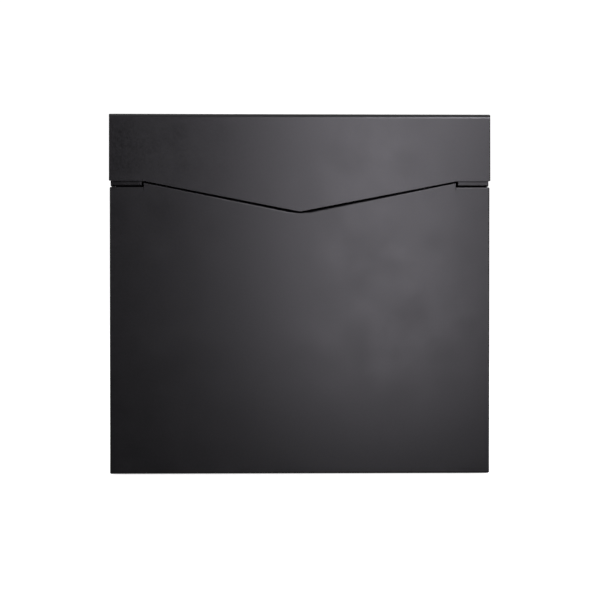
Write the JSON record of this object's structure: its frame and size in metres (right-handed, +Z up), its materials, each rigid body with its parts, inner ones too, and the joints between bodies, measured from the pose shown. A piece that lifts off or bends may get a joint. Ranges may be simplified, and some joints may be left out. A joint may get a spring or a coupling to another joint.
{
  "type": "parcel drop box",
  "caption": "Wall-mounted sheet-steel letter and parcel box with a V-shaped lifting flap, a side-hinged front door and a cam lock hidden behind the flap.",
  "frame": {"origin": "centre of the bottom of the box around the whole object, with the lid and the door closed", "axes": "+X along the width, to the right of somebody who faces the front; +Y into the wall, so the front faces -Y; +Z up"},
  "size_m": [0.4014, 0.155, 0.38],
  "materials": {
    "powder_coat": "fine-grained satin powder coat, near black",
    "plated_steel": "zinc plated",
    "zinc_casting": "nickel-plated die casting, satin",
    "brass": "turned",
    "aluminium_rivet": "plain",
    "nylon": "black moulded nylon",
    "rubber": "moulded, matt"
  },
  "bodies": {
    "case": {"case_wrap": "powder_coat", "back_panel": "powder_coat", "baffle": "powder_coat", "jamb_left": "powder_coat", "jamb_right": "powder_coat", "hinge_rod": "plated_steel", "rod_clip_left": "plated_steel", "rod_clip_right": "plated_steel", "pivot_bracket": "plated_steel", "pivot_pin_upper": "plated_steel", "pivot_pin_lower": "plated_steel", "pivot_clip_upper": "plated_steel", "lock_washer": "plated_steel", "lock_housing": "zinc_casting", "lock_nut": "zinc_casting", "panel_rivet_left_1": "aluminium_rivet", "panel_rivet_right_1": "aluminium_rivet", "panel_rivet_left_2": "aluminium_rivet", "panel_rivet_right_2": "aluminium_rivet", "panel_rivet_left_3": "aluminium_rivet", "panel_rivet_right_3": "aluminium_rivet", "baffle_rivet_1": "aluminium_rivet", "baffle_rivet_2": "aluminium_rivet", "baffle_rivet_3": "aluminium_rivet", "pivot_washer_upper": "nylon", "pivot_washer_lower": "nylon", "lid_bumper_left": "rubber", "lid_bumper_right": "rubber", "door_bumper_1": "rubber", "door_bumper_2": "rubber", "door_bumper_3": "rubber"},
    "lid": {"lid_shell": "powder_coat", "lid_ear_left": "plated_steel", "lid_ear_right": "plated_steel", "lid_bush_left": "nylon", "lid_bush_right": "nylon"},
    "door": {"door_pan": "powder_coat", "door_stiffener": "powder_coat", "door_keeper": "plated_steel"},
    "lock_rotor": {"lock_plug": "brass", "lock_cam": "plated_steel", "cam_screw": "plated_steel"}
  },
  "joints": [
    {"name": "lid_hinge", "type": "hinge", "parent": "case", "child": "lid", "pos_m": [0, 0.063, 0.372], "axis": [-1, 0, 0], "range_deg": [0, 75]},
    {"name": "door_hinge", "type": "hinge", "parent": "case", "child": "door", "pos_m": [-0.195, -0.0655, 0.15], "axis": [0, 0, -1], "range_deg": [0, 105]},
    {"name": "lock_turn", "type": "hinge", "parent": "case", "child": "lock_rotor", "pos_m": [0.18, -0.05, 0.335], "axis": [0, -1, 0], "range_deg": [0, 180]}
  ]
}
